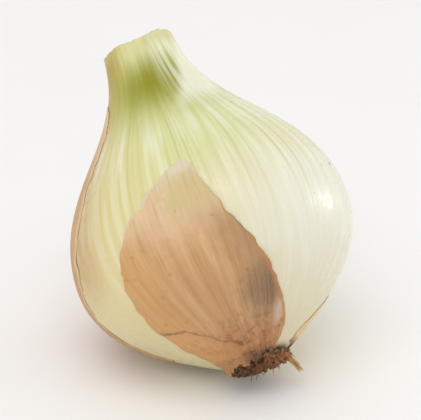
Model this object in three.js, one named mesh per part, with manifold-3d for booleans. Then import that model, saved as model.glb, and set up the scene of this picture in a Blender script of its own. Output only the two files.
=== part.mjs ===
// A pale sweet onion, resting on its lower flank with its neck leaning back and to the left.
// Millimetres, +Z up. The origin is the middle of the small flat spot it rests on.
// The bulb has a frame of its own: its axis runs from the root end (0) to the cut neck, angles are
// counted round that axis from the side that faces forward (-Y), and grow towards the right (+X).
import * as THREE from 'three';
import { mergeVertices } from 'three/addons/utils/BufferGeometryUtils.js';
import Module from 'manifold-3d';

const wasm = await Module();
wasm.setup();

// ---------------------------------------------------------------- driving dimensions

// The bulb, along its own axis and out from it
const BULB_LENGTH = 95.5;
const BELLY_RADIUS = 40.0;
const BELLY_HEIGHT = 34.8;
const ROOT_END_RADIUS = 9.0;
const ROOT_FLANK_SLOPE = 31;       // degrees, of the lower flank against the root end
const SHOULDER_RADIUS = 20.6;
const SHOULDER_HEIGHT = 71.5;
const SHOULDER_SLOPE = 52;         // degrees, of the shoulder against the root end
const NECK_RADIUS = 11.0;
const NECK_DOME = 1.6;             // how far the inner sheaths stand above the rim of the cut neck

// How full the curves between those places are: the lengths of their tangents
const FLANK_PULL = 15.5;
const BELLY_PULL_DOWN = 17.5;
const BELLY_PULL_UP = 17.5;
const SHOULDER_PULL_DOWN = 11;
const SHOULDER_PULL_UP = 8;
const NECK_PULL = 11;
const NECK_FLARE = 0.3;            // the sides of the neck spread this much below the rim

// Unevenness of a grown thing
const OVAL_DEPTH = 0.35;           // the belly is a little oval
const OVAL_ANGLE = 25;
const FOLD_COUNT = 4;              // the sheaths of the neck fold into this many ridges
const FOLD_DEPTH = 1.1;
const FOLD_START = 1.7;            // the station on the shoulder where the folds begin

// How it lies
const ROOT_CLEARANCE = 0.1;        // least height of the outermost roots above the surface
const LEAST_LEAN = 20;             // degrees from upright, where the search for the lean starts
const MOST_LEAN = 80;
const LEAN_HEADING = 120.3;        // degrees round from +X of the side it leans to
const SPIN = -117.4;               // degrees that the bulb is turned about its own axis
const RESTING_SPOT_DEPTH = 1.3;    // how much of the flank is flattened where it rests

// Dry outer skin
const SKIN_THICKNESS = 0.5;
const SKIN_GAP = 0.45;             // how far the dry skin stands off the bulb
const JOINT_GAP = 0.3;             // clearance between the pieces at the root end
const SKIN_TIP_WIDTH = 3;          // degrees, so that a pointed end still has a rim

// Root end
const PLATE_THICKNESS = 1.3;
const PLATE_OVERHANG = 0.6;        // the corky plate is this much wider than the root end
const TUFT_MAT_THICKNESS = 0.7;
const TUFT_INSET = 1.2;            // the mat of roots stops this far inside the plate's edge
const STUB_COUNT = 34;
const STUB_LENGTH = 2.4;
const STUB_LENGTH_AT_EDGE = 1.0;
const STUB_RADIUS = 0.75;
const STUB_SIDES = 6;
const TIP_SHARE = 0.55;            // a root's tip is this share as thick as its start
const STUB_SPLAY = 24;             // degrees outwards at the edge of the tuft
const STRAND_ANGLES = [76, 90, 104];
const STRAND_LENGTH = 5.0;
const STRAND_RADIUS = 0.55;
const STRAND_SPLAY = 16;

// Fineness of the meshes
const ROUND_SEGMENTS = 64;
const ROWS_BELOW_BELLY = 14;
const ROWS_BELOW_SHOULDER = 12;
const ROWS_BELOW_RIM = 10;
const FLANK_SAMPLES = 200;

// ---------------------------------------------------------------- the bulb's outline

const radians = THREE.MathUtils.degToRad;
const smoothstep = THREE.MathUtils.smoothstep;

function along(slopeDegrees, length) {
  const slope = radians(slopeDegrees);
  return new THREE.Vector2(Math.cos(slope), Math.sin(slope)).multiplyScalar(length);
}

const rootEnd = new THREE.Vector2(ROOT_END_RADIUS, 0);
const belly = new THREE.Vector2(BELLY_RADIUS, BELLY_HEIGHT);
const shoulder = new THREE.Vector2(SHOULDER_RADIUS, SHOULDER_HEIGHT);
const neckRim = new THREE.Vector2(NECK_RADIUS, BULB_LENGTH);

// Stations count along the outline: 0 root end, 1 belly, 2 shoulder, 3 rim of the neck.
const outline = [
  new THREE.CubicBezierCurve(
    rootEnd,
    rootEnd.clone().add(along(ROOT_FLANK_SLOPE, FLANK_PULL)),
    belly.clone().add(new THREE.Vector2(0, -BELLY_PULL_DOWN)),
    belly,
  ),
  new THREE.CubicBezierCurve(
    belly,
    belly.clone().add(new THREE.Vector2(0, BELLY_PULL_UP)),
    shoulder.clone().sub(along(180 - SHOULDER_SLOPE, SHOULDER_PULL_DOWN)),
    shoulder,
  ),
  new THREE.CubicBezierCurve(
    shoulder,
    shoulder.clone().add(along(180 - SHOULDER_SLOPE, SHOULDER_PULL_UP)),
    neckRim.clone().add(new THREE.Vector2(NECK_FLARE, -NECK_PULL)),
    neckRim,
  ),
];

function outlineAt(station, lift = 0) {
  const piece = Math.min(Math.floor(station), outline.length - 1);
  const share = station - piece;
  const tangent = outline[piece].getTangent(share);
  const outwards = new THREE.Vector2(tangent.y, -tangent.x);
  return outline[piece].getPoint(share).addScaledVector(outwards, lift);
}

function roundTheAxis(radius, angle, height = 0) {
  return new THREE.Vector3(radius * Math.sin(angle), -radius * Math.cos(angle), height);
}

// The folds of the neck and the oval of the belly, as a change of radius
function unevenness(station, angle) {
  const oval = OVAL_DEPTH * Math.cos(2 * (angle - radians(OVAL_ANGLE)));
  const folds = -FOLD_DEPTH * Math.cos(FOLD_COUNT * angle) * smoothstep(station, FOLD_START, 3);
  const ovalShare = smoothstep(station, 0, 1) * (1 - smoothstep(station, 1, 3));
  return oval * ovalShare + folds;
}

function onBulb(station, angle, lift) {
  const place = outlineAt(station, lift);
  const radius = place.x + unevenness(station, angle);
  return roundTheAxis(radius, angle, place.y);
}

// ---------------------------------------------------------------- places at the root end

const plateRadius = ROOT_END_RADIUS + PLATE_OVERHANG;
const plateTop = -JOINT_GAP;
const plateBottom = plateTop - PLATE_THICKNESS;
const matRadius = plateRadius - TUFT_INSET;
const tuftTop = plateBottom - JOINT_GAP;
const tuftBottom = tuftTop - TUFT_MAT_THICKNESS;
const outermostRoots = new THREE.Vector2(plateRadius, tuftBottom - STUB_LENGTH_AT_EDGE);

// ---------------------------------------------------------------- helpers

// A closed mesh as a solid for cutting and joining
function solidOf(geometry) {
  const bare = geometry.clone();
  bare.deleteAttribute('normal');
  bare.deleteAttribute('uv');
  const merged = mergeVertices(bare, 1e-4);
  return new wasm.Manifold(new wasm.Mesh({
    numProp: 3,
    vertProperties: new Float32Array(merged.attributes.position.array),
    triVerts: new Uint32Array(merged.index.array),
  }));
}

function geometryOf(solid) {
  const mesh = solid.getMesh();
  const geometry = new THREE.BufferGeometry();
  geometry.setAttribute('position', new THREE.BufferAttribute(mesh.vertProperties, 3));
  geometry.setIndex(new THREE.BufferAttribute(mesh.triVerts, 1));
  geometry.computeVertexNormals();
  return geometry;
}

// A lathe whose axis is +Z and whose angles start at the front
function turned(points, segments) {
  const geometry = new THREE.LatheGeometry(points, segments);
  geometry.rotateX(Math.PI / 2);
  return geometry;
}

function moveVertices(geometry, place) {
  const positions = geometry.attributes.position;
  for (let i = 0; i < positions.count; i += 1) {
    const moved = place(new THREE.Vector3().fromBufferAttribute(positions, i), i);
    positions.setXYZ(i, moved.x, moved.y, moved.z);
  }
  geometry.computeVertexNormals();
  return geometry;
}

function named(name, geometry, colour, roughness) {
  const material = new THREE.MeshStandardMaterial({ color: colour, roughness, metalness: 0 });
  const mesh = new THREE.Mesh(geometry, material);
  mesh.name = name;
  return mesh;
}

// ---------------------------------------------------------------- how the onion lies

// The lowest that a ring round the axis (radius, height) reaches when the axis leans
function lowestOfRing(ring, lean) {
  return ring.y * Math.cos(lean) - ring.x * Math.sin(lean);
}

// How high the outermost roots stand above the resting spot at one lean
function rootClearance(lean) {
  const rings = outline[0].getPoints(FLANK_SAMPLES);
  const lowestFlank = Math.min(...rings.map((ring) => lowestOfRing(ring, lean)));
  return lowestOfRing(outermostRoots, lean) - lowestFlank - RESTING_SPOT_DEPTH;
}

// The onion leans until its roots are just clear of the surface, so it rests on its flank
function restingLean() {
  let upright = radians(LEAST_LEAN);
  let lyingDown = radians(MOST_LEAN);
  while (lyingDown - upright > 1e-6) {
    const middle = (upright + lyingDown) / 2;
    if (rootClearance(middle) < ROOT_CLEARANCE) upright = middle;
    else lyingDown = middle;
  }
  return lyingDown;
}

const lie = new THREE.Matrix4()
  .makeRotationZ(radians(LEAN_HEADING))
  .multiply(new THREE.Matrix4().makeRotationY(restingLean()))
  .multiply(new THREE.Matrix4().makeRotationZ(radians(SPIN)));

// ---------------------------------------------------------------- bulb

function bulbStations() {
  const rows = [ROWS_BELOW_BELLY, ROWS_BELOW_SHOULDER, ROWS_BELOW_RIM];
  const stations = rows.flatMap((count, piece) => (
    Array.from({ length: count }, (_, row) => piece + row / count)
  ));
  return [...stations, outline.length];
}

// The whole bulb with its neck: one closed solid, in the bulb's own frame
function wholeBulb() {
  const stations = bulbStations();
  const domeRows = [0.72, 0.4];
  const dome = domeRows.map((share) => (
    new THREE.Vector2(NECK_RADIUS * share, BULB_LENGTH + NECK_DOME * (1 - share * share))
  ));
  const points = [
    new THREE.Vector2(0, 0),
    ...stations.map((station) => outlineAt(station)),
    ...dome,
    new THREE.Vector2(0, BULB_LENGTH + NECK_DOME),
  ];
  const stationOfRow = [0, ...stations, ...dome.map(() => outline.length), outline.length];
  return moveVertices(turned(points, ROUND_SEGMENTS), (vertex, index) => {
    const row = index % points.length;
    const radius = points[row].x;
    if (radius === 0) return vertex;
    const angle = Math.atan2(vertex.x, -vertex.y);
    const share = Math.min(1, radius / NECK_RADIUS);
    const grown = 1 + unevenness(stationOfRow[row], angle) * share / radius;
    return new THREE.Vector3(vertex.x * grown, vertex.y * grown, vertex.z);
  });
}

// The leaning bulb with its resting spot cut flat, and the move that brings the spot's middle to
// the origin
function restingBulb() {
  const leaning = solidOf(wholeBulb().applyMatrix4(lie));
  const lowest = leaning.boundingBox().min[2];
  const spotHeight = lowest + RESTING_SPOT_DEPTH;
  const reach = 4 * BULB_LENGTH;
  const below = new THREE.BoxGeometry(reach, reach, reach);
  below.translate(0, 0, spotHeight - reach / 2);
  const cut = geometryOf(leaning.subtract(solidOf(below)));
  const middle = middleOfFace(cut, spotHeight);
  cut.translate(-middle.x, -middle.y, -spotHeight);
  moveVertices(cut, (vertex) => {
    if (Math.abs(vertex.z) < 1e-3) vertex.z = 0;
    return vertex;
  });
  return { geometry: cut, shift: new THREE.Vector3(-middle.x, -middle.y, -spotHeight) };
}

// The middle, by area, of the flat face at one height
function middleOfFace(geometry, height) {
  const positions = geometry.attributes.position;
  const corners = geometry.index.array;
  const sum = new THREE.Vector3();
  let area = 0;
  for (let i = 0; i < corners.length; i += 3) {
    const triangle = new THREE.Triangle();
    triangle.setFromAttributeAndIndices(positions, corners[i], corners[i + 1], corners[i + 2]);
    const flat = [triangle.a, triangle.b, triangle.c].every((p) => Math.abs(p.z - height) < 1e-3);
    if (!flat) continue;
    const share = triangle.getArea();
    sum.addScaledVector(triangle.getMidpoint(new THREE.Vector3()), share);
    area += share;
  }
  return sum.divideScalar(area);
}

// ---------------------------------------------------------------- dry outer skin

// A scrap of dry skin wrapped on the bulb: a thin sheet whose two edges are curves of
// (degrees round the bulb, station along it), from the root end up
function drySkin({ left, right, columns, rows }) {
  const edgeCurve = (places) => (
    new THREE.SplineCurve(places.map((place) => new THREE.Vector2(...place)))
  );
  const leftEdge = edgeCurve(left);
  const rightEdge = edgeCurve(right);
  const sheet = new THREE.BoxGeometry(1, 1, 1, columns, rows, 1);
  moveVertices(sheet, (vertex) => {
    const across = vertex.x + 0.5;
    const up = vertex.y + 0.5;
    const lift = SKIN_GAP + (vertex.z + 0.5) * SKIN_THICKNESS;
    const place = leftEdge.getPoint(up).lerp(rightEdge.getPoint(up), across);
    return onBulb(place.y, radians(place.x), lift);
  });
  return sheet;
}

const halfTip = SKIN_TIP_WIDTH / 2;

const frontSkin = {
  left: [
    [-60, 0.03], [-50, 0.3], [-47, 0.62], [-42, 0.9], [-33, 1.1], [-18, 1.25],
    [-6 - halfTip, 1.37],
  ],
  right: [
    [30, 0.03], [32, 0.28], [22, 0.6], [11, 0.88], [6, 1.08], [1, 1.25],
    [-6 + halfTip, 1.37],
  ],
  columns: 15,
  rows: 20,
};

const backSkin = {
  left: [[-165, 1.12], [-188, 1.17], [-202, 1.3], [-206, 1.45], [-196, 1.75], [-172, 1.95]],
  right: [[-94, 0.25], [-90, 0.6], [-84, 0.95], [-73, 1.3], [-65, 1.75], [-66, 2.2]],
  columns: 20,
  rows: 20,
};

const sideScrap = {
  left: [[88, 0.03], [90, 0.16], [98, 0.3], [104 - halfTip, 0.42]],
  right: [[128, 0.03], [122, 0.16], [114, 0.3], [104 + halfTip, 0.42]],
  columns: 6,
  rows: 8,
};

// ---------------------------------------------------------------- root end

// The corky plate that the roots grow from, with a rounded edge
function basalPlate() {
  const edge = new THREE.CubicBezierCurve(
    new THREE.Vector2(ROOT_END_RADIUS, plateBottom),
    new THREE.Vector2(plateRadius, plateBottom),
    new THREE.Vector2(plateRadius, plateTop),
    new THREE.Vector2(ROOT_END_RADIUS, plateTop),
  );
  const points = [
    new THREE.Vector2(0, plateBottom),
    ...edge.getPoints(6),
    new THREE.Vector2(0, plateTop),
  ];
  return turned(points, ROUND_SEGMENTS / 2);
}

// One dry root: a tapered stub that starts inside the mat and splays outwards
function root(place, length, radius, splay) {
  const whole = length + TUFT_MAT_THICKNESS;
  const stub = new THREE.CylinderGeometry(radius, radius * TIP_SHARE, whole, STUB_SIDES);
  stub.rotateX(Math.PI / 2);
  stub.translate(0, 0, -whole / 2);
  const heading = new THREE.Vector3(-place.y, place.x, 0).normalize();
  if (heading.lengthSq() > 0) {
    stub.applyMatrix4(new THREE.Matrix4().makeRotationAxis(heading, -radians(splay)));
  }
  stub.translate(place.x, place.y, tuftTop - TUFT_MAT_THICKNESS / 2);
  return stub;
}

// The trimmed roots: a mat with stubs packed on it in a spiral, and a few longer strands
function rootTuft() {
  const mat = turned([
    new THREE.Vector2(0, tuftBottom),
    new THREE.Vector2(matRadius, tuftBottom),
    new THREE.Vector2(matRadius, tuftTop),
    new THREE.Vector2(0, tuftTop),
  ], ROUND_SEGMENTS / 2);
  const goldenAngle = Math.PI * (3 - Math.sqrt(5));
  const outerRing = matRadius - STUB_RADIUS;
  let tuft = solidOf(mat);
  for (let i = 0; i < STUB_COUNT; i += 1) {
    const share = Math.sqrt((i + 0.5) / STUB_COUNT);
    const angle = i * goldenAngle;
    const place = roundTheAxis(outerRing * share, angle);
    const length = THREE.MathUtils.lerp(STUB_LENGTH, STUB_LENGTH_AT_EDGE, share);
    tuft = tuft.add(solidOf(root(place, length, STUB_RADIUS, STUB_SPLAY * share)));
  }
  for (const angle of STRAND_ANGLES) {
    const place = roundTheAxis(outerRing, radians(angle));
    tuft = tuft.add(solidOf(root(place, STRAND_LENGTH, STRAND_RADIUS, STRAND_SPLAY)));
  }
  return geometryOf(tuft);
}

// ---------------------------------------------------------------- the onion

const { geometry: bulbGeometry, shift } = restingBulb();

const wrappings = new THREE.Group();
wrappings.add(
  named('dry_skin_front', drySkin(frontSkin), '#c08f60', 0.55),
  named('dry_skin_back', drySkin(backSkin), '#c9a070', 0.55),
  named('dry_skin_scrap', drySkin(sideScrap), '#c9a377', 0.6),
  named('basal_plate', basalPlate(), '#7a5233', 0.9),
  named('root_tuft', rootTuft(), '#6b4629', 0.95),
);
wrappings.applyMatrix4(lie);
wrappings.position.add(shift);

const onion = new THREE.Group();
onion.name = 'onion';
onion.add(named('bulb', bulbGeometry, '#e4e2bd', 0.35), wrappings);

export default onion;
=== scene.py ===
# %% [markdown]
# # A sweet onion, resting on its side
#
# This notebook gives an onion its looks: a pale living bulb with a cut green neck, scraps of brown
# dry skin, a corky root plate and a tuft of trimmed roots. The sizes and the place of every piece
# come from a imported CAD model, the frame. So the first cell loads that frame, and everything after
# it is fitted to what is measured there.

# %% Load the frame
import math
import random

import bmesh
import bpy
import numpy as np
from mathutils import Matrix, Vector, noise


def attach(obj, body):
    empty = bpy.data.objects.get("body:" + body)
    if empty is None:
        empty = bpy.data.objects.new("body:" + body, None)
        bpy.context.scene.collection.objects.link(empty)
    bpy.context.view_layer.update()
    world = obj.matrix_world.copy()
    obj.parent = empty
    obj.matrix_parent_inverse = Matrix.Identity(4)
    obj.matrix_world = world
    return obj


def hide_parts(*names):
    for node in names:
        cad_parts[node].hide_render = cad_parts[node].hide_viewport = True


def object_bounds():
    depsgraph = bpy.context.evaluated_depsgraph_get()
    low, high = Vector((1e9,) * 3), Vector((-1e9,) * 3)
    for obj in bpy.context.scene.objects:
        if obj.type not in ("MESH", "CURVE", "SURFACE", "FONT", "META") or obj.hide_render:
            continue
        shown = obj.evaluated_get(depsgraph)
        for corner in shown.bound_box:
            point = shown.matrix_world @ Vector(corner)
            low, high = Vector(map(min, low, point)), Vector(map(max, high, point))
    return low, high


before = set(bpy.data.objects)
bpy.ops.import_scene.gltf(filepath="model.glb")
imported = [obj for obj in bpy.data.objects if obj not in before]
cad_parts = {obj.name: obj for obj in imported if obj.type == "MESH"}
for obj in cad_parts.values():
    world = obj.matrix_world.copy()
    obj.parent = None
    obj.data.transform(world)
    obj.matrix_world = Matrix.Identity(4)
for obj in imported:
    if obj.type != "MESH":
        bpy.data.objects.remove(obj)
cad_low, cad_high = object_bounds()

MM = 0.001
print("CAD box, mm:", [round(side / MM, 1) for side in cad_high - cad_low])

# %% [markdown]
# ## The camera
#
# It looks down at the onion by 27 degrees from straight in front, as somebody at a market stall
# would. It stands more than a metre away with a long lens, so the round bulb isn't stretched by
# perspective. The lens is worked out from the width that should fit in the picture.

# %% Camera
CAMERA_TILT = math.radians(27)
CAMERA_DISTANCE = 1100 * MM
PICTURE_WIDTH = 117 * MM
SENSOR_WIDTH = 36

looking = Vector((0, math.cos(CAMERA_TILT), -math.sin(CAMERA_TILT)))
aim = (cad_low + cad_high) / 2
bpy.ops.object.camera_add(
    location=aim - looking * CAMERA_DISTANCE,
    rotation=(math.pi / 2 - CAMERA_TILT, 0, 0),
)
camera = bpy.context.object
camera.name = "camera"
camera.data.sensor_width = SENSOR_WIDTH
camera.data.lens = SENSOR_WIDTH * CAMERA_DISTANCE / PICTURE_WIDTH
bpy.context.scene.camera = camera
print("lens:", round(camera.data.lens), "mm")

# %% [markdown]
# ## The bulb's own directions
#
# An onion is easiest to model upright on a bench, with its axis along Z, and to lay down when it is
# finished. For that we need the matrix that lays it down. It is measured on the frame: the axis
# runs from the middle of the root plate to the far end of the bulb, and "front" is the side of the
# bulb that is turned to the camera. On the bench that side faces -Y, and angles grow to the right.

# %% Measure how the onion lies
def points_of(node):
    """The corners of one CAD node, each counted once, as an array in metres."""
    corners = np.array([vertex.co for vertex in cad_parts[node].data.vertices])
    return np.unique(np.round(corners, 7), axis=0)


bulb_points = points_of("bulb")
plate_middle = points_of("basal_plate").mean(0)
reaches = np.linalg.norm(bulb_points - plate_middle, axis=1)
axis = Vector(bulb_points[reaches.argmax()] - plate_middle).normalized()
root_end = Vector(plate_middle) + axis * float(((bulb_points - plate_middle) @ axis).min())
front = (-looking + axis * looking.dot(axis)).normalized()
side = axis.cross(front)
side = side if side.x > 0 else -side

lying = Matrix((side, -front, axis)).transposed().to_4x4()
lying.translation = root_end
upright = lying.inverted()


def to_bench(points):
    """Moves places on the CAD onion to where they are on the bench."""
    return (points - np.array(root_end)) @ np.array((side, -front, axis)).T


print("lean from upright:", round(math.degrees(axis.angle(Vector((0, 0, 1)))), 1), "degrees")

# %% [markdown]
# ## Selecting by place
#
# Blender's edit tools act on what is selected. There is no mouse here, so a small helper selects
# faces by a rule about where they are and where they point. Every piece starts from a clean
# selection, because the frame's own nodes are still selected after loading. Another helper extrudes
# a ring and widens or narrows it, because almost everything on an onion grows in rings.

# %% Helpers for selecting and finishing
def clean_start():
    """Leaves edit mode and deselects everything."""
    if bpy.context.object and bpy.context.object.mode != "OBJECT":
        bpy.ops.object.mode_set(mode="OBJECT")
    bpy.ops.object.select_all(action="DESELECT")


def pick(piece):
    """Selects one piece alone and makes it the active one."""
    clean_start()
    piece.select_set(True)
    bpy.context.view_layer.objects.active = piece


def edit(piece, select_mode="VERT"):
    """Opens one piece in edit mode with nothing selected."""
    pick(piece)
    bpy.ops.object.mode_set(mode="EDIT")
    bpy.ops.mesh.select_mode(type=select_mode)
    bpy.ops.mesh.select_all(action="DESELECT")


def select_faces(piece, rule):
    """In edit mode, selects the faces whose middle and normal pass the rule."""
    mesh = bmesh.from_edit_mesh(piece.data)
    for face in mesh.faces:
        face.select = bool(rule(face.calc_center_median(), face.normal))
    mesh.select_flush_mode()
    bmesh.update_edit_mesh(piece.data)


def extrude_ring(move, stretch, middle=(0, 0, 0)):
    """Extrudes what is selected by a move, and resizes it sideways about a point."""
    bpy.ops.mesh.extrude_region_move(TRANSFORM_OT_translate={"value": move})
    bpy.ops.transform.resize(value=(stretch, stretch, 1), center_override=middle)


def modify(piece, kind, **settings):
    """Adds one modifier and applies it at once."""
    pick(piece)
    bpy.ops.object.modifier_add(type=kind)
    modifier = piece.modifiers[-1]
    for name, value in settings.items():
        setattr(modifier, name, value)
    bpy.ops.object.modifier_apply(modifier=modifier.name)


def place(piece, matrix):
    """Moves a piece by a matrix and puts that move into its mesh."""
    pick(piece)
    piece.matrix_world = matrix @ piece.matrix_world
    bpy.ops.object.transform_apply(location=True, rotation=True, scale=True)


# %% [markdown]
# ## The bulb: a cage of rings
#
# The bulb is one living thing, so it is one mesh. We could sculpt a sphere, but an onion grows in
# rings round an axis, so we grow it the same way: a circle at the root end is extruded upwards ring
# by ring, and each new ring is resized to the bulb's width at that height. Those heights and
# widths are read off the CAD bulb, whose corners lie in rings too.

# %% Read the rings of the bulb
COLUMNS = 64
RING_TOLERANCE = 0.02 * MM

on_bench = to_bench(bulb_points)
on_bench = on_bench[on_bench[:, 2].argsort()]
breaks = np.flatnonzero(np.diff(on_bench[:, 2]) > RING_TOLERANCE) + 1
rings = [
    (float(group[:, 2].mean()), float(np.hypot(group[:, 0], group[:, 1]).mean()))
    for group in np.split(on_bench, breaks)
    if len(group) > COLUMNS / 2
]
# Rings narrower than the root end belong to the cut face of the neck, which is made later.
rings = [(height, radius) for height, radius in rings if radius >= rings[0][1]]
neck_height, neck_radius = rings[-1]
print(len(rings), "rings, neck", round(neck_height / MM, 1), "mm up and",
      round(neck_radius / MM, 1), "mm in radius")

# %% Grow the cage
clean_start()
bpy.ops.mesh.primitive_circle_add(
    vertices=COLUMNS, radius=rings[0][1], fill_type="NGON", location=(0, 0, rings[0][0]),
)
bulb = bpy.context.object
bulb.name = "onion_bulb"
edit(bulb, "FACE")
bpy.ops.mesh.select_all(action="SELECT")
for (low, narrow), (high, wide) in zip(rings, rings[1:]):
    extrude_ring((0, 0, high - low), wide / narrow, (0, 0, high))
clean_start()
print("cage:", len(bulb.data.polygons), "faces")

# %% [markdown]
# ## Folds and resting spot
#
# The cage is perfectly round, and the real bulb isn't: its neck is folded, its belly is a little
# oval, and it is flattened where it rests. The CAD bulb has all three, so the cage is shrunk onto
# a copy of it. The copy is stood up on the bench first. It is only a guide and is deleted at the
# end.

# %% Shrink the cage onto a guide
MERGE_DISTANCE = 0.001 * MM

clean_start()
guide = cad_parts["bulb"].copy()
guide.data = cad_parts["bulb"].data.copy()
guide.name = "guide"
bpy.context.collection.objects.link(guide)
guide.parent = None
guide.matrix_world = Matrix()
edit(guide)
bpy.ops.mesh.select_all(action="SELECT")
bpy.ops.mesh.remove_doubles(threshold=MERGE_DISTANCE)
place(guide, upright)
modify(bulb, "SHRINKWRAP", target=guide, wrap_method="NEAREST_SURFACEPOINT")

# %% [markdown]
# ## The cut neck
#
# A sweet onion is sold with its stalk cut off. The cut shows the sheaths of the leaves, one inside
# the other, with thin gaps where they have dried apart, and a hollow in the middle. An inset would
# be the usual tool, but its even border crosses itself where the folds turn in. So the face that
# closes the cage is extruded with no height, drawn in towards the axis, and raised or lowered: a
# wide step is the top of a sheath, and two narrow ones, down and up again, are a gap.

# %% Step the sheaths inwards
RIM_ROUNDING = 0.25 * MM
SHEATH_WIDTHS = (1.1 * MM, 1.5 * MM, 1.7 * MM, 1.6 * MM)
SHEATH_RISE = 0.3 * MM
GAP_WALL = 0.14 * MM
GAP_WIDTH = 0.12 * MM
GAP_DEPTH = 0.9 * MM
HEART_WIDTH = 1.1 * MM
HEART_DEPTH = 2.6 * MM
NEAR_THE_TOP = 0.5 * MM
FACING_UP = 0.9

edit(bulb, "FACE")
top_height = neck_height - NEAR_THE_TOP
select_faces(bulb, lambda middle, normal: middle.z > top_height and normal.z > FACING_UP)


def steps_in(radius, steps):
    """Draws the selected face in by steps of (width, rise), and returns the radius that is left."""
    for width, rise in steps:
        extrude_ring((0, 0, rise), (radius - width) / radius)
        radius -= width
    return radius


left = steps_in(neck_radius, [(RIM_ROUNDING, RIM_ROUNDING / 2)])
for width in SHEATH_WIDTHS:
    left = steps_in(left, [
        (GAP_WALL, 0),
        (width / 2, SHEATH_RISE),
        (width / 2, -SHEATH_RISE / 2),
        (GAP_WALL, 0),
        (GAP_WALL, -GAP_DEPTH),
        (GAP_WIDTH, 0),
        (GAP_WALL, GAP_DEPTH),
    ])
left = steps_in(left, [
    (HEART_WIDTH, SHEATH_RISE),
    (GAP_WALL, 0),
    (GAP_WALL, -HEART_DEPTH / 2),
    (GAP_WALL, -HEART_DEPTH / 2),
])
modify(bulb, "SUBSURF", levels=2, render_levels=2)
print("bulb:", len(bulb.data.polygons), "faces, heart", round(left / MM, 1), "mm in radius")

# %% [markdown]
# ## Relief by weight
#
# Fine shapes are easier to describe than to push by hand: a swelling here, ridges along the veins
# there. Each is written as a rule that gives every corner a weight from 0 to 1. The weights are
# stored in a vertex group, and a Displace modifier then raises the surface by its strength times
# the weight.

# %% Helpers for relief
LEAST_WEIGHT = 0.001


def corners_of(piece):
    corners = np.empty(len(piece.data.vertices) * 3)
    piece.data.vertices.foreach_get("co", corners)
    return corners.reshape(-1, 3)


def round_and_up(corners):
    """Each corner's angle from the front, in degrees to the right, and height in millimetres."""
    angles = np.degrees(np.arctan2(corners[:, 0], -corners[:, 1]))
    return angles, corners[:, 2] / MM


def smooth_step(values, low, high):
    share = np.clip((values - low) / (high - low), 0, 1)
    return share * share * (3 - 2 * share)


def between(values, low, high, soft):
    """1 between two limits, and 0 outside them, with soft edges."""
    above_low = smooth_step(values, low - soft, low + soft)
    return above_low * (1 - smooth_step(values, high - soft, high + soft))


def drift(points, size, start):
    """Smooth random numbers from -1 to 1 that change over about one `size`."""
    return np.array([noise.noise(Vector(point) / size + Vector((start, 0, 0))) for point in points])


def raise_by(piece, weights, height, direction="NORMAL"):
    """Raises each corner by its weight times a height."""
    group = piece.vertex_groups.new(name="relief")
    for corner in np.flatnonzero(weights > LEAST_WEIGHT):
        group.add([int(corner)], float(min(weights[corner], 1)), "REPLACE")
    modify(
        piece, "DISPLACE", vertex_group=group.name, strength=height, mid_level=0,
        direction=direction,
    )
    piece.vertex_groups.clear()


def mark(piece, name, weights):
    """Keeps a number per corner on the piece, for its finish to read."""
    marks = piece.data.attributes.new(name, "FLOAT", "POINT")
    marks.data.foreach_set("value", np.asarray(weights, dtype=float))


def above_floor(corners):
    """How high each corner will be above the floor once the onion lies down, in metres."""
    return corners @ np.array(lying)[2, :3] + lying.translation.z


def round_places(angles, heights, radius, stretch):
    """Places on a tube, in metres, for a pattern that closes behind and runs along the bulb."""
    turns = np.radians(angles)
    return np.column_stack((
        np.sin(turns) * radius,
        np.cos(turns) * radius,
        heights * MM / stretch,
    ))


# %% [markdown]
# ## Relief on the bulb
#
# The outer scale swells a little between its veins, and the veins stand out as faint ridges that
# run from neck to root. On the neck the outermost sheath overlaps the next one in a slanting line,
# and the cut edge has dried into uneven waves. The flat spot underneath has to stay flat, so the
# swelling and the veins fade out close to the floor. The rest is on the neck, far above it.

# %% Relief on the bulb
VEIN_RIDGES = 48
VEIN_HEIGHT = 0.11 * MM
SWELL_HEIGHT = 0.5 * MM
SWELL_SIZE = 32 * MM
HOLLOW_DEPTH = 0.7 * MM
RIM_UNEVENNESS = 2.4 * MM
SHEATH_EDGE_HEIGHT = 0.3 * MM
FLOOR_CLEARANCE = (0.5 * MM, 3 * MM)

corners = corners_of(bulb)
angles, heights = round_and_up(corners)
off_the_spot = smooth_step(above_floor(corners), *FLOOR_CLEARANCE)
swell = 0.5 + 0.5 * drift(corners, SWELL_SIZE, 3)
raise_by(bulb, swell * between(heights, 30, 88, 12) * off_the_spot, SWELL_HEIGHT)

hollow = between(angles, -26, 14, 14) * between(heights, 76, 91, 6)
raise_by(bulb, hollow, -HOLLOW_DEPTH)

edge_line = 14 + (95 - heights) * 0.9
sheath_edge = smooth_step(angles, edge_line - 2, edge_line + 2) * (1 - smooth_step(angles, 55, 80))
raise_by(bulb, sheath_edge * between(heights, 76, 99, 4), SHEATH_EDGE_HEIGHT)

tube = round_places(angles, heights, 30 * MM, stretch=4)
wander = 1.6 * drift(tube, 12 * MM, 11)
veins = 0.5 + 0.5 * np.cos(np.radians(angles) * VEIN_RIDGES + wander)
veins = veins ** 2 * (1 - 0.7 * smooth_step(heights, 66, 84))
raise_by(bulb, veins * between(heights, 12, 96, 8) * off_the_spot, VEIN_HEIGHT)

rim_waves = 0.3 + 0.3 * drift(tube, 13 * MM, 23) + 0.15 * drift(tube, 3 * MM, 29)
rim_waves += 0.2 * between(angles, -80, -50, 12)
raise_by(bulb, rim_waves * smooth_step(heights, 90, 95.5), -RIM_UNEVENNESS, direction="Z")
bpy.ops.object.shade_smooth()
print("relief done on", len(corners), "corners")

# %% Mark the cut face
CUT_DEPTH = 1.5
ALL_CUT_WITHIN = 0.8
NO_CUT_BEYOND = 1.1
RIM_FACING_UP = 0.75

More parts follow.
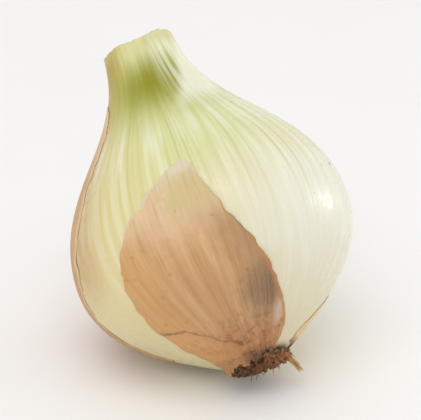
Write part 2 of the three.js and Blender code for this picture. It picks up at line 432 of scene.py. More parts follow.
facing_up = np.array([normal.vector.z for normal in bulb.data.vertex_normals])
across = np.hypot(corners[:, 0], corners[:, 1])
on_rim = (across < neck_radius * NO_CUT_BEYOND) & (facing_up > RIM_FACING_UP)
on_cut = heights > neck_height / MM - CUT_DEPTH
on_cut &= (across < neck_radius * ALL_CUT_WITHIN) | on_rim
mark(bulb, "cut_face", on_cut)
print(int(on_cut.sum()), "corners on the cut face")

# %% [markdown]
# ## Scraps of dry skin
#
# The outermost scales of an onion dry to brown paper that tears off in scraps. Each scrap is made
# as a paper one would be. A flat grid is trimmed to its torn outline, by resizing and sliding one
# row of corners after the other. A Simple Deform modifier rolls it round the bulb, and a
# Shrinkwrap modifier presses it on with a small gap. Across the flat sheet a millimetre stands for
# an angle, so each outline can be given as places (height above the root end, degrees round).

# %% Helpers for cutting and rolling a sheet
SKIN_THICKNESS = 0.11 * MM
ROLL_RADIUS = 60 * MM
TEAR_SIZES = ((2.6, 1.0), (0.9, 0.45))
LEAST_WIDTH = 0.8
ROW_CROWDING = 1.25
RIM_ANGLE = math.radians(50)


def torn(outline, heights, tear, start):
    """The angles of a torn edge that follows an outline, at a row of heights."""
    edge = np.interp(heights, *zip(*outline))
    for size, share in TEAR_SIZES:
        wave = [noise.noise((height / size, start, size)) for height in heights]
        edge += tear * share * np.array(wave)
    return edge


def trim_row(sheet_rows, row, flat_height, left, right, height):
    """Resizes and slides one row of a flat sheet to its two edges, all in metres."""
    for corner in sheet_rows[row - 1]:
        corner.select = False
    for corner in sheet_rows[row]:
        corner.select = True
    middle = (left + right) / 2
    bpy.ops.transform.resize(value=(right - left, 1, 1), center_override=(0, flat_height, 0))
    bpy.ops.transform.translate(value=(middle, height - flat_height, 0))


def flat_sheet(name, left, right, columns, rows, tear, start):
    """A sheet trimmed to its outline, with its rows closer together towards the root end."""
    clean_start()
    bpy.ops.mesh.primitive_grid_add(x_subdivisions=columns, y_subdivisions=rows, size=1)
    sheet = bpy.context.object
    sheet.name = name
    low, high = left[0][0], left[-1][0]
    heights = low + (high - low) * np.linspace(0, 1, rows + 1) ** ROW_CROWDING
    left_edge = torn(left, heights, tear, start)
    right_edge = np.maximum(torn(right, heights, tear, start + 7), left_edge + LEAST_WIDTH)
    edit(sheet)
    mesh = bmesh.from_edit_mesh(sheet.data)
    sheet_rows = [[] for _ in heights]
    for corner in mesh.verts:
        sheet_rows[round((corner.co.y + 0.5) * rows)].append(corner)
    for row, height in enumerate(heights):
        trim_row(
            sheet_rows, row, row / rows - 0.5,
            math.radians(left_edge[row]) * ROLL_RADIUS,
            math.radians(right_edge[row]) * ROLL_RADIUS,
            height * MM,
        )
    place(sheet, Matrix.Rotation(math.pi / 2, 4, "X"))
    return sheet


def roll_on(sheet, facing, gap):
    """Rolls a sheet into a tube round the bulb, turns it to face an angle and presses it on."""
    modify(
        sheet, "SIMPLE_DEFORM", deform_method="BEND", deform_axis="Z",
        angle=sheet.dimensions.x / ROLL_RADIUS,
    )
    turn = Matrix.Rotation(math.radians(facing), 4, "Z")
    place(sheet, turn @ Matrix.Translation((0, -ROLL_RADIUS, 0)))
    modify(
        sheet, "SHRINKWRAP", target=bulb, wrap_method="PROJECT", wrap_mode="ABOVE_SURFACE",
        use_negative_direction=True, use_positive_direction=False, offset=gap,
    )


# %% [markdown]
# ## Crumples
#
# A dry scrap isn't smooth. Its edges lift and curl, pleats run along the veins, and close to the
# root end it is crumpled where it has shrunk. The same relief helper makes all of these, and the
# sheet's own UV map tells how far a corner is from its edges. Solidify then gives the sheet the
# thickness of paper.

# %% Helpers for finishing a scrap
def shares_of(sheet):
    """Each corner's place on the sheet, from 0 to 1 across and up, out of its UV map."""
    places = np.empty(len(sheet.data.loops) * 2)
    sheet.data.uv_layers[0].data.foreach_get("uv", places)
    owners = np.empty(len(sheet.data.loops), dtype=int)
    sheet.data.loops.foreach_get("vertex_index", owners)
    shares = np.empty((len(sheet.data.vertices), 2))
    shares[owners] = places.reshape(-1, 2)
    return shares.T


def crumple(sheet, start, lift, depth):
    corners = corners_of(sheet)
    angles, heights = round_and_up(corners)
    across, up = shares_of(sheet)
    clear = smooth_step(above_floor(corners), *FLOOR_CLEARANCE)
    to_edge = np.minimum(np.minimum(across, 1 - across) * 2, (1 - up) * 2.5)
    inside = 0.15 + 0.85 * smooth_step(to_edge, 0, 0.12)
    patchy = smooth_step(drift(corners, 7 * MM, start), -0.15, 0.5)
    raise_by(sheet, (1 - smooth_step(to_edge, 0, 0.16)) * patchy * clear, lift)
    tube = round_places(angles, heights, 34 * MM, stretch=7)
    pleats = 0.5 + 0.35 * drift(tube, 3.2 * MM, start) + 0.25 * drift(tube, 1.3 * MM, start + 1)
    raise_by(sheet, pleats * inside * clear, depth / 2)
    near_root = 1 - smooth_step(heights, 5, 13)
    hollows = np.abs(drift(corners, 2.1 * MM, start + 2))
    folds = np.clip(1 - 2.4 * hollows, 0, 1)
    raise_by(sheet, folds ** 2 * near_root * inside * clear, depth)
    # The finish darkens these low places between the raised folds: partly dark cracks, partly painted
    # shade.
    mark(sheet, "crease", smooth_step(hollows, 0.18, 0.34) * near_root)


def finish_scrap(sheet):
    modify(sheet, "SUBSURF", levels=1, render_levels=1)
    modify(sheet, "SOLIDIFY", thickness=SKIN_THICKNESS, offset=1)
    bpy.ops.object.shade_smooth_by_angle(angle=RIM_ANGLE)
    print(sheet.name + ":", len(sheet.data.polygons), "faces, lowest",
          round(above_floor(corners_of(sheet)).min() / MM, 2), "mm above the floor")


# %% [markdown]
# ## The big scrap in front
#
# It comes to a point at the top and reaches down over the edge of the root plate in a ragged
# fringe, which is its lowest row of corners extruded downwards. Low on its left the scrap has
# cracked open along a slanting line. Below that line it lies flat on the bulb, and above it the
# upper layer stands up as a lip.

# %% Helper for the fringe
FRINGE_STEPS = (
    (0.7 * MM, 0.985), (0.7 * MM, 0.99), (0.7 * MM, 0.99), (0.8 * MM, 0.98), (0.8 * MM, 0.97),
)
FRINGE_RAGGEDNESS = 3.4 * MM


def hang_fringe(sheet):
    """Extrudes the lowest row of a sheet down over the root plate, to an uneven end."""
    lowest_row = shares_of(sheet)[1] < 0.001
    lowest = corners_of(sheet)[lowest_row, 2].min()
    edit(sheet, "EDGE")
    mesh = bmesh.from_edit_mesh(sheet.data)
    for edge in mesh.edges:
        edge.select = all(lowest_row[corner.index] for corner in edge.verts)
    bmesh.update_edit_mesh(sheet.data)
    for drop, shrink in FRINGE_STEPS:
        extrude_ring((0, 0, -drop), shrink)
    clean_start()
    corners = corners_of(sheet)
    angles, _ = round_and_up(corners)
    end = smooth_step(-corners[:, 2], -lowest, -corners[:, 2].min())
    uneven = 0.35 + 0.9 * drift(corners, 1.0 * MM, 40) + 0.35 * smooth_step(angles, -12, 20)
    raise_by(sheet, np.clip(uneven, 0, 1) * end, FRINGE_RAGGEDNESS, direction="Z")


# %% Front scrap
CRACK = ((-60, 14), (-36, 11), (-30, 8.2), (-23, 5.6), (-14, 3.9), (-5, 3.1), (6, 2.6))
CRACK_LIP = 0.55 * MM

front_scrap = flat_sheet(
    "onion_dry_skin_front",
    left=[(1.0, -68), (4, -59), (10, -53), (18, -48), (27, -43), (35, -37), (40, -31),
          (42.6, -27), (43.4, -22), (46.3, -18), (48.6, -12), (50.6, -7), (52.4, -2)],
    right=[(1.0, 34), (1.9, 36), (4.3, 38), (7.1, 34), (12.2, 27), (16.8, 22), (22, 18.5),
           (26.4, 15), (31.3, 11), (36.6, 8), (43.3, 5), (47.8, 4), (50.6, 2), (52.4, 0)],
    columns=76, rows=96, tear=1.1, start=4,
)
roll_on(front_scrap, 0, gap=0.12 * MM)
hang_fringe(front_scrap)
crumple(front_scrap, start=4, lift=0.4 * MM, depth=0.8 * MM)
angles, heights = round_and_up(corners_of(front_scrap))
crack_line = np.interp(angles, *zip(*CRACK))
crack_line += 0.8 * drift(corners_of(front_scrap), 2.5 * MM, 8)
beside = 1 - smooth_step(angles, -10, 6)
lip = smooth_step(heights, crack_line - 0.1, crack_line + 0.25)
lip *= 1 - smooth_step(heights, crack_line + 1, crack_line + 5)
raise_by(front_scrap, lip * beside, CRACK_LIP)
mark(front_scrap, "under_layer", beside * (1 - smooth_step(heights, crack_line - 0.5, crack_line)))
mark(front_scrap, "crack", beside * between(heights, crack_line - 0.45, crack_line + 0.2, 0.3))
finish_scrap(front_scrap)

# %% [markdown]
# ## The scraps on the left and beside the root end
#
# A wide scrap wraps the left side and the back. From in front only its edge shows. It stays clear
# of the flat spot that the bulb rests on. The last one is a narrow strip that starts at the root
# end.

# %% Back scrap and side scrap
back_scrap = flat_sheet(
    "onion_dry_skin_back",
    left=[(8, 41), (14, 24), (22, 8), (28, -4), (34, -24), (39, -42), (45, -54), (52, -62),
          (60, -62), (67, -54), (72, -40), (77, -12), (81, 12)],
    right=[(8, 46), (14, 49), (22, 52), (30, 57), (38, 64), (46, 70), (52, 74), (60, 77),
           (67, 79), (72, 80), (77, 78), (81, 72)],
    columns=90, rows=90, tear=2.4, start=19,
)
roll_on(back_scrap, -136, gap=0.03 * MM)
crumple(back_scrap, start=19, lift=0.08 * MM, depth=0.45 * MM)
finish_scrap(back_scrap)

side_scrap = flat_sheet(
    "onion_dry_skin_scrap",
    left=[(0.9, -27), (2, -28), (4, -25), (6.5, -17), (9, -9), (11, -3)],
    right=[(0.9, 18), (2, 16), (4, 13), (6.5, 9), (9, 5), (11, 2)],
    columns=20, rows=28, tear=1.6, start=31,
)
roll_on(side_scrap, 107, gap=0.03 * MM)
crumple(side_scrap, start=31, lift=0.04 * MM, depth=0.3 * MM)
finish_scrap(side_scrap)

# %% [markdown]
# ## The root plate
#
# Under the bulb sits its real stem, a corky disc as wide as the root end. It is grown like the
# bulb: a small circle in the middle of its top is extruded again and again with no height, resized
# and raised or lowered, out over the rounded rim and back in to the middle of its underside. Small
# random bumps make it corky.

# %% Root plate
PLATE_COLUMNS = 72
PLATE_SECTION = (
    (0.1, 0), (0.35, 0), (0.6, 0), (0.82, 0), (0.94, 0.1), (1, 0.45), (0.97, 0.85), (0.86, 1),
    (0.7, 1), (0.55, 1), (0.4, 1), (0.25, 1), (0.1, 1),
)
PLATE_FIT = 0.95
CORK_HEIGHT = 0.55 * MM

plate_points = to_bench(points_of("basal_plate"))
plate_top = float(plate_points[:, 2].max())
plate_bottom = float(plate_points[:, 2].min())
plate_radius = float(np.hypot(plate_points[:, 0], plate_points[:, 1]).max()) * PLATE_FIT
clean_start()
first = PLATE_SECTION[0]
bpy.ops.mesh.primitive_circle_add(
    vertices=PLATE_COLUMNS, radius=first[0] * plate_radius, fill_type="NGON",
    location=(0, 0, plate_top),
)
plate = bpy.context.object
plate.name = "onion_root_plate"
edit(plate, "FACE")
bpy.ops.mesh.select_all(action="SELECT")
for (wide, depth), (next_wide, next_depth) in zip(PLATE_SECTION, PLATE_SECTION[1:]):
    drop = (next_depth - depth) * (plate_bottom - plate_top)
    extrude_ring((0, 0, drop), next_wide / wide)
bpy.ops.mesh.select_all(action="SELECT")
bpy.ops.mesh.normals_make_consistent(inside=False)
modify(plate, "SUBSURF", levels=1, render_levels=1)
corners = corners_of(plate)
cork = 0.5 + 0.6 * drift(corners, 1.1 * MM, 2) + 0.4 * drift(corners, 2.7 * MM, 6)
raise_by(plate, np.clip(cork, 0, 1), CORK_HEIGHT)
bpy.ops.object.shade_smooth()
print("root plate:", len(plate.data.polygons), "faces")

# %% [markdown]
# ## The roots
#
# The roots were trimmed and have dried to a dense brown stubble, with a few longer strands left at
# one side. One root is a small six-sided face, extruded a few times: each step draws it in and
# slides it aside, so it tapers and bends. A handful of such roots, each bent its own way, is
# copied a few hundred times. The places follow a sunflower spiral, which spreads them evenly over
# the plate. Roots near the edge splay outwards and are cut short, those on the left most of all, so
# none reaches the floor.

# %% One root in a few shapes
ROOT_SHAPES = 7
ROOT_SIDES = 6
ROOT_STEPS = ((0.3, 1.05), (0.3, 0.92), (0.25, 0.8), (0.15, 0.5))
dice = random.Random(12)


def sideways(most):
    """A random short move to any side."""
    return Vector((dice.uniform(-most, most), dice.uniform(-most, most), 0))


def one_root(name, sway):
    """A root 1 m long and 1 m in radius that hangs down from the origin and sways aside."""
    clean_start()
    bpy.ops.mesh.primitive_circle_add(vertices=ROOT_SIDES, radius=1, fill_type="NGON")
    root = bpy.context.object
    root.name = name
    edit(root, "FACE")
    bpy.ops.mesh.select_all(action="SELECT")
    middle = Vector((0, 0, 0))
    for drop, shrink in ROOT_STEPS:
        move = sideways(sway) - Vector((0, 0, drop))
        middle += move
        extrude_ring(move, shrink, middle)
    bpy.ops.mesh.select_all(action="SELECT")
    bpy.ops.mesh.normals_make_consistent(inside=False)
    clean_start()
    root.data.shade_smooth()
    return root


root_shapes = [one_root("root_shape", sway=0.75) for _ in range(ROOT_SHAPES)]
print(len(root_shapes), "roots of", len(root_shapes[0].data.polygons), "faces")

# %% Plant the stubble
STUBBLE_COUNT = 430
STUBBLE_REACH = 0.94
STUBBLE_LENGTH = (1.7 * MM, 3.0 * MM)
STUBBLE_RADIUS = (0.22 * MM, 0.46 * MM)
STUBBLE_SPLAY = 20
EDGE_LENGTH_SHARE = 0.75
LEFT_LENGTH_SHARE = 0.55
GOLDEN_ANGLE = math.pi * (3 - math.sqrt(5))
ROOT_FLOOR_GAP = 0.5 * MM
LEAST_FALL = 0.3
EDGE_SHARE = 0.9
FOOT_DEPTH_INSIDE = 0.35 * MM
FOOT_DEPTH_AT_EDGE = 0.75 * MM
SPIRAL_JITTER = 0.1
SPLAY_JITTER = 14
STUBBLE_LEAN = 0.2


def outwards_at(angle):
    """The direction away from the onion's axis at an angle, in radians, from the front."""
    return Vector((math.sin(angle), -math.cos(angle), 0))


def plant(shape, foot, direction, length, radius):
    """Copies a root shape to a place on the bench, pointing in a direction."""
    tip_height = above_floor(np.array(foot + direction * length))
    spare = tip_height - ROOT_FLOOR_GAP
    if spare < 0:
        length += spare / max(-above_floor(np.array(direction)) + lying.translation.z, LEAST_FALL)
    copy = shape.copy()
    copy.data = shape.data.copy()
    bpy.context.collection.objects.link(copy)
    turn = Vector((0, 0, -1)).rotation_difference(direction).to_matrix().to_4x4()
    spin = Matrix.Rotation(dice.uniform(0, 2 * math.pi), 4, "Z")
    size = Matrix.Diagonal((radius, radius, max(length, radius), 1))
    copy.matrix_world = Matrix.Translation(foot) @ turn @ spin @ size
    return copy


roots = []
for count in range(STUBBLE_COUNT):
    share = math.sqrt((count + 0.5) / STUBBLE_COUNT)
    outwards = outwards_at(count * GOLDEN_ANGLE + dice.uniform(-SPIRAL_JITTER, SPIRAL_JITTER))
    foot = outwards * plate_radius * STUBBLE_REACH * share
    foot.z = plate_bottom + (FOOT_DEPTH_INSIDE if share < EDGE_SHARE else FOOT_DEPTH_AT_EDGE)
    splay = math.radians(STUBBLE_SPLAY * share ** 2 + dice.uniform(-SPLAY_JITTER, SPLAY_JITTER))
    direction = outwards * math.sin(splay) - Vector((0, 0, math.cos(splay)))
    direction += sideways(STUBBLE_LEAN)
    length = dice.uniform(*STUBBLE_LENGTH) * (1 - (1 - EDGE_LENGTH_SHARE) * share)
    length *= np.interp(outwards.x * share, (-1, 0.5), (LEFT_LENGTH_SHARE, 1))
    roots.append(plant(
        dice.choice(root_shapes), foot, direction.normalized(), length,
        dice.uniform(*STUBBLE_RADIUS),
    ))
print(len(roots), "roots planted")

# %% [markdown]
# The longer strands hang from the edge of the plate on the right and lean together to a point, and
# a few thin hairs cross the stubble.

# %% Strands and hairs
STRAND_TIP = Vector((10.4, 0.4, -7.2)) * MM
STRAND_COUNT = 9
STRAND_ANGLES = (70, 108)
STRAND_RADIUS = (0.2 * MM, 0.42 * MM)
STRAND_FEET = (0.8, 0.95)
STRAND_FOOT_DEPTH = 0.4 * MM
STRAND_SCATTER = 0.9
STRAND_REACH = (0.65, 1)
HAIR_COUNT = 30
HAIR_ANGLES = (-20, 200)
HAIR_LENGTH = (1.6 * MM, 3.6 * MM)
HAIR_RADIUS = 0.1 * MM
HAIR_FEET = (0.5, 1)
HAIR_FOOT_DEPTH = 0.2 * MM
HAIR_OUTWARDS = (-0.2, 0.9)
HAIR_LEAN = 0.7

for count in range(STRAND_COUNT):
    outwards = outwards_at(math.radians(np.interp(count, (0, STRAND_COUNT - 1), STRAND_ANGLES)))
    foot = outwards * plate_radius * dice.uniform(*STRAND_FEET)
    foot.z = plate_bottom + STRAND_FOOT_DEPTH
    scatter = Vector([dice.uniform(-STRAND_SCATTER, STRAND_SCATTER) * MM for _ in range(3)])
    reach = STRAND_TIP + scatter - foot
    roots.append(plant(
        dice.choice(root_shapes), foot, reach.normalized(),
        reach.length * dice.uniform(*STRAND_REACH), dice.uniform(*STRAND_RADIUS),
    ))
for count in range(HAIR_COUNT):
    outwards = outwards_at(math.radians(dice.uniform(*HAIR_ANGLES)))
    foot = outwards * plate_radius * dice.uniform(*HAIR_FEET)
    foot.z = plate_bottom + HAIR_FOOT_DEPTH
    direction = outwards * dice.uniform(*HAIR_OUTWARDS) - Vector((0, 0, 1))
    direction += sideways(HAIR_LEAN)
    roots.append(plant(
        dice.choice(root_shapes), foot, direction.normalized(),
        dice.uniform(*HAIR_LENGTH), HAIR_RADIUS,
    ))

clean_start()
for root in roots:
    root.select_set(True)
bpy.context.view_layer.objects.active = roots[0]
bpy.ops.object.join()
tuft = bpy.context.object
tuft.name = "onion_roots"
place(tuft, Matrix())
for shape in root_shapes:
    bpy.data.objects.remove(shape)
print("roots:", len(tuft.data.polygons), "faces, lowest",
      round(above_floor(corners_of(tuft)).min() / MM, 2), "mm above the floor")

# %% [markdown]
# ## Writing materials as sums
#
# A finish is a sum of many small patterns. Wiring each one by hand is slow to read, so one small
# class wraps a socket. Adding or multiplying two of them adds the Math node, and one method adds
# any other node.

# %% A wire through the nodes
class Wire:
    """One value, colour or vector on its way through a material's nodes."""

    def __init__(self, socket):
        self.socket = socket

    def node(self, kind, settings=None, inputs=None, output=0):
        """Adds a node, sets it up, and returns the wire that comes out of it."""
        tree = self.socket.id_data
        new = tree.nodes.new("ShaderNode" + kind)
        for name, value in (settings or {}).items():
            setattr(new, name, value)
        for name, value in (inputs or {}).items():
            if isinstance(value, Wire):
                tree.links.new(value.socket, new.inputs[name])
            else:
                new.inputs[name].default_value = value
        return Wire(new.outputs[output])

    def math(self, operation, *values):
        return self.node("Math", {"operation": operation}, dict(enumerate(values)))

    def __add__(self, other):
        return self.math("ADD", self, other)

    def __sub__(self, other):
        return self.math("SUBTRACT", self, other)

    def __rsub__(self, other):
        return self.math("SUBTRACT", other, self)

    def __mul__(self, other):
        return self.math("MULTIPLY", self, other)

    def __truediv__(self, other):
        return self.math("DIVIDE", self, other)

    def __pow__(self, other):
        return self.math("POWER", self, other)

    __radd__ = __add__
    __rmul__ = __mul__

    def size(self):
        return self.math("ABSOLUTE", self)

    def sine(self):
        return self.math("SINE", self)

    def rise(self, low, high):
        """0 below one limit, 1 above the other, and a soft step between them."""
        return self.node(
            "MapRange", {"interpolation_type": "SMOOTHSTEP"},
            {"Value": self, "From Min": low, "From Max": high},
        )

    def within(self, low, high, soft):
        """1 between two limits and 0 outside them, with soft edges."""
        return self.rise(low - soft, low + soft) * (1 - self.rise(high - soft, high + soft))

    def noise(self, scale, detail=2.0, roughness=0.5):
        """Smooth random numbers from 0 to 1 at a place."""
        return self.node("TexNoise", {}, {
            "Vector": self, "Scale": scale, "Detail": detail, "Roughness": roughness,
        })

    def cells(self, scale):
        """How far a place is from the middle of the nearest of many scattered cells."""
        return self.node(
            "TexVoronoi", {}, {"Vector": self, "Scale": scale, "Randomness": 1.0}, "Distance",
        )

    def over(self, below, colour):
        """Lays a colour over the colour below, as thickly as this mask says."""
        return self.node(
            "Mix", {"data_type": "RGBA"}, {0: self, 6: below, 7: colour}, output=2,
        )


def colour(red, green, blue):
    """A colour given in 0 to 255, as a shader needs it."""
    linear = []
    for share in (red / 255, green / 255, blue / 255):
        linear.append(share / 12.92 if share < 0.04045 else ((share + 0.055) / 1.055) ** 2.4)
    return (*linear, 1)


# %% [markdown]
# ## Where on the onion
#
# Every finish on an onion follows its axis: veins run from root to neck, colours change with the
# height and the side. So the first nodes of each material undo the lean and give bench places in
# millimetres: the height, the angle from the front, and a place on a tube for patterns that run
# along the bulb. That tube closes behind the onion without a seam.

# %% Bench places in a material
class Finish:
    """A new material with the bench places that its patterns are made from."""

    def __init__(self, name):
        self.material = bpy.data.materials.new(name)
        self.material.use_nodes = True
        self.shader = self.material.node_tree.nodes["Principled BSDF"]
        start = Wire(self.shader.outputs[0])
        self.metres = start.node("TexCoord", output="Object")
        self.place = self.metres.node("Mapping", {"vector_type": "TEXTURE"}, {
            "Vector": self.metres,
            "Location": lying.translation,
            "Rotation": lying.to_euler(),
            "Scale": (MM, MM, MM),
        })
        apart = {"Vector": self.place}
        self.x = self.place.node("SeparateXYZ", inputs=apart, output="X")
        self.y = self.place.node("SeparateXYZ", inputs=apart, output="Y")
        self.height = self.place.node("SeparateXYZ", inputs=apart, output="Z")
        self.turn = self.x.math("ARCTAN2", self.x, self.y * -1)
        self.angle = self.turn * math.degrees(1)
        self.radius = (self.x * self.x + self.y * self.y) ** 0.5

    def tube(self, radius, stretch):
        """Places on a tube, for patterns stretched along the bulb."""
        return self.place.node("CombineXYZ", inputs={
            "X": self.x / self.radius * radius,
            "Y": self.y / self.radius * radius,
            "Z": self.height / stretch,
        })

    def around(self, up, degrees, reach, waver, radius=32):
        """A soft round mask, `reach` millimetres in size, about a height and an angle."""
        rise_off = (self.height - up) * 1.25
        side_off = (self.angle - degrees) * (math.radians(1) * radius)
        distance = (rise_off * rise_off + side_off * side_off) ** 0.5
        return 1 - (distance + waver).rise(0.1 * reach, reach)

    def marked(self, name):
        """The number per corner that the modelling kept under a name."""
        return self.place.node("Attribute", {"attribute_name": name}, output="Fac")

    def set(self, **sockets):
        """Wires or constants for the shader, with _ for each space in a socket's name."""
        for name, value in sockets.items():
            socket = self.shader.inputs[name.replace("_", " ").title()]
            if isinstance(value, Wire):
                self.material.node_tree.links.new(value.socket, socket)
            else:
                socket.default_value = value

    def bump(self, height, depth):
        """Turns a height pattern from 0 to 1 into a bump `depth` metres deep."""
        return self.place.node("Bump", {}, {"Height": height, "Distance": depth, "Strength": 1.0})


def dress(piece, finish, slot, *nodes):
    """Gives a finished piece its material, lays it down and registers it."""
    piece.data.materials.clear()
    piece.data.materials.append(finish.material)
    place(piece, lying)
    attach(piece, "root")
    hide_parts(*nodes)


# %% [markdown]
# ## The living bulb
#
# The outer scale is cream with a breath of yellow-green. It is warmer on the left and whiter
# on the right, partly its own colour and partly painted light: painted warm reflected light and
# shade on the left, painted light on the lit right. It turns brown beside the dry skin on the far
# left. Thin green veins run up it, with pale stripes between them. They are strongest on the
# shoulder and fade towards the belly. The neck is olive green in front and darkest in its hollow,
# partly as painted shade. It is tan on the left, and almost white where a drier sheath crosses it
# on the right, partly as painted light on that lit ridge. Each of these is a soft mask, laid over
# the colours below.

# %% Bulb finish: ground colour
CREAM_AND_PAINTED_LIGHT = colour(232, 230, 212)
WARM_CREAM = colour(226, 211, 158)
SHOULDER_GREEN = colour(216, 219, 158)
ROOT_BEIGE = colour(215, 203, 160)
LEFT_TINT_AND_PAINTED_REFLECTION = colour(222, 203, 138)
LEFT_EDGE_BROWN = colour(196, 156, 98)
bulb_finish = Finish("onion_living_scale")
height, angle = bulb_finish.height, bulb_finish.angle
cloud = bulb_finish.place.noise(0.035, 3.0)
stripes = bulb_finish.tube(30, 14).noise(0.42, 3.0)
in_front = 1 - (angle.size() + cloud * 40).rise(125, 175)
# The front right is whiter and less green: partly the scale's own pale colour, partly painted light
# on the side that faces the light.
right_side_painted_light = in_front * angle.rise(20, 70)
ground = (in_front * (angle + cloud * 50).rise(10, 75)).over(WARM_CREAM, CREAM_AND_PAINTED_LIGHT)
shoulder = (height + cloud * 16).within(57, 110, 11)
ground = (shoulder * (0.85 - 0.3 * right_side_painted_light)).over(ground, SHOULDER_GREEN)
low = 1 - (height + cloud * 8).rise(4, 34)
ground = (low * 0.8).over(ground, ROOT_BEIGE)
# Warmer yellow on the left: partly the scale's own yellow, partly painted warm reflected light and
# painted shade on the side away from the light.
left_tint_and_painted_reflection = (angle * -1 + cloud * 24).rise(14, 66) * height.within(42, 88, 12)
ground = (in_front * left_tint_and_painted_reflection * 0.85).over(ground, LEFT_TINT_AND_PAINTED_REFLECTION)
# Browner towards the far left, beside the dry skin.
left_edge_brown = (angle * -1 + cloud * 8).rise(44, 66) * height.within(30, 90, 8)
ground = (in_front * left_edge_brown * 0.75).over(ground, LEFT_EDGE_BROWN)

# %% Bulb finish: veins
VEIN_COUNT = 58
FINE_VEIN_COUNT = 131
VEIN_GREEN = colour(187, 194, 103)
PALE_STRIPE = colour(246, 246, 226)
wander = bulb_finish.tube(30, 5).noise(0.09, 1.0) * 7
vein = 1 - (bulb_finish.turn * (VEIN_COUNT / 2) + wander).sine().size().rise(0, 0.7)
fine_wave = (bulb_finish.turn * (FINE_VEIN_COUNT / 2) + wander * 2).sine().size()
fine_vein = 1 - fine_wave.rise(0, 0.55)
patchy = bulb_finish.tube(30, 9).noise(0.16, 2.0).rise(0.34, 0.66)
up_the_bulb = (height + cloud * 14).rise(22, 74)
right_side = angle.within(14, 96, 12) * height.within(42, 80, 8)
strength = up_the_bulb * (patchy * 0.65 + 0.35) * (1 - height.rise(72, 86) * 0.85)
strength = strength * (1 - in_front * (angle * -1).rise(12, 60) * 0.55) + right_side * 0.35
pale = height.within(14, 92, 12) * (0.2 + 0.16 * in_front * angle.rise(-60, 0))
ground = (stripes.rise(0.48, 0.68) * pale).over(ground, PALE_STRIPE)
ground = (fine_vein * strength * 0.34).over(ground, VEIN_GREEN)
ground = (vein * strength * 0.5).over(ground, VEIN_GREEN)
print("veins:", VEIN_COUNT, "strong and", FINE_VEIN_COUNT, "fine")

# %% Bulb finish: neck
NECK_GREEN = colour(176, 179, 84)
NECK_OLIVE_AND_PAINTED_SHADE = colour(142, 140, 0)
NECK_TAN = colour(184, 160, 84)
SHEATH_WHITE = colour(240, 241, 220)
DRY_TIP = colour(205, 192, 118)
CUT_OLIVE = colour(166, 162, 92)
CUT_EDGE = colour(208, 200, 148)
CUT_RING_WIDTH = 1.1
ragged = (stripes - 0.5) * 26
streaks = bulb_finish.tube(30, 12).noise(0.3, 2.0)
neck_green = bulb_finish.around(78.5, -2, 21, (streaks - 0.5) * 7, radius=13)
green_back = bulb_finish.around(83, 165, 12, ragged * 0.3, radius=14)
olive = bulb_finish.around(81.5, 4, 14.5, (streaks - 0.5) * 9, radius=13)
tan_side = (angle + ragged).within(-125, -30, 14)
tan_up = (height + ragged * 0.4).rise(68, 88)
sheath = (angle - (height - 85.5) * 1.8 + ragged * 0.3).within(40, 80, 7)
sheath_up = height.within(71, 92, 4)
ground = (tan_side * tan_up * 0.95).over(ground, NECK_TAN)
below_neck = height.within(58, 70, 4) * angle.within(-60, 70, 15)
ground = ((streaks - 0.48).rise(0, 0.16) * below_neck * 0.45).over(ground, SHEATH_WHITE)
ground = ((neck_green + green_back) * 0.85).over(ground, NECK_GREEN)
# The darkest olive sits in the neck's hollow: partly its own green, partly painted shade in that
# recess.
ground = (olive * 0.92).over(ground, NECK_OLIVE_AND_PAINTED_SHADE)
thin_streaks = bulb_finish.tube(30, 16).noise(0.62, 2.0)
striped = angle.within(14, 70, 10) * height.within(76, 99, 5)
ground = (thin_streaks.rise(0.4, 0.66) * striped * 0.55).over(ground, SHEATH_WHITE)
# The ridge where the sheath crosses on the right is almost white: partly its pale colour, partly
# painted light on that lit ridge.
ground = (sheath * sheath_up * (1 - fine_vein * 0.3) * 0.85).over(ground, SHEATH_WHITE)
dry_tip = (height + ragged * 0.1).rise(90, 94) * (1 - (angle + ragged).within(-20, 6, 10) * 0.7)
ground = (dry_tip * 0.5).over(ground, DRY_TIP)
cut = bulb_finish.marked("cut_face")
cut_rings = bulb_finish.radius.math("PINGPONG", bulb_finish.radius, CUT_RING_WIDTH)
cut_colour = cut_rings.rise(0.2, 0.9).over(CUT_EDGE, CUT_OLIVE)
ground = (cut * 0.92).over(ground, cut_colour)

# %% [markdown]
# Small marks make it a real one: a peach tint where the scale was bruised, and a few brown specks.
# The surface is smooth and a little waxy, shiny in patches, with shallow ridges along the veins.

# %% Bulb finish: marks, gloss and bump
PEACH = colour(232, 208, 170)
SPECK = colour(112, 84, 40)
peach = (height + cloud * 8).within(50, 60, 4) * (angle + cloud * 20).within(52, 78, 8)
ground = (peach * 0.28).over(ground, PEACH)
speck = 1 - bulb_finish.place.cells(0.11).rise(0.03, 0.075)
ground = (speck * bulb_finish.place.noise(0.08).rise(0.5, 0.62) * 0.8).over(ground, SPECK)
grain = bulb_finish.tube(34, 10).noise(1.6, 4.0, 0.6)
shiny = bulb_finish.place.noise(0.28, 3.0, 0.6).rise(0.42, 0.58)
relief = vein * strength * 0.5 + fine_vein * 0.18 + grain * 0.4
bulb_finish.set(
    base_color=ground,
    roughness=grain * 0.16 + 0.27 + cut * 0.35,
    coat_weight=(1 - cut) * (1 - height.rise(68, 80)) * shiny * 0.45,
    coat_roughness=0.12,
    subsurface_weight=0.12,
    subsurface_radius=(0.9, 0.9, 0.45),
    subsurface_scale=3 * MM,
    normal=bulb_finish.bump(relief, 0.16 * MM),
)
bulb_finish.shader.inputs["Specular IOR Level"].default_value = 0.35
print("bulb finish:", len(bulb_finish.material.node_tree.nodes), "nodes")

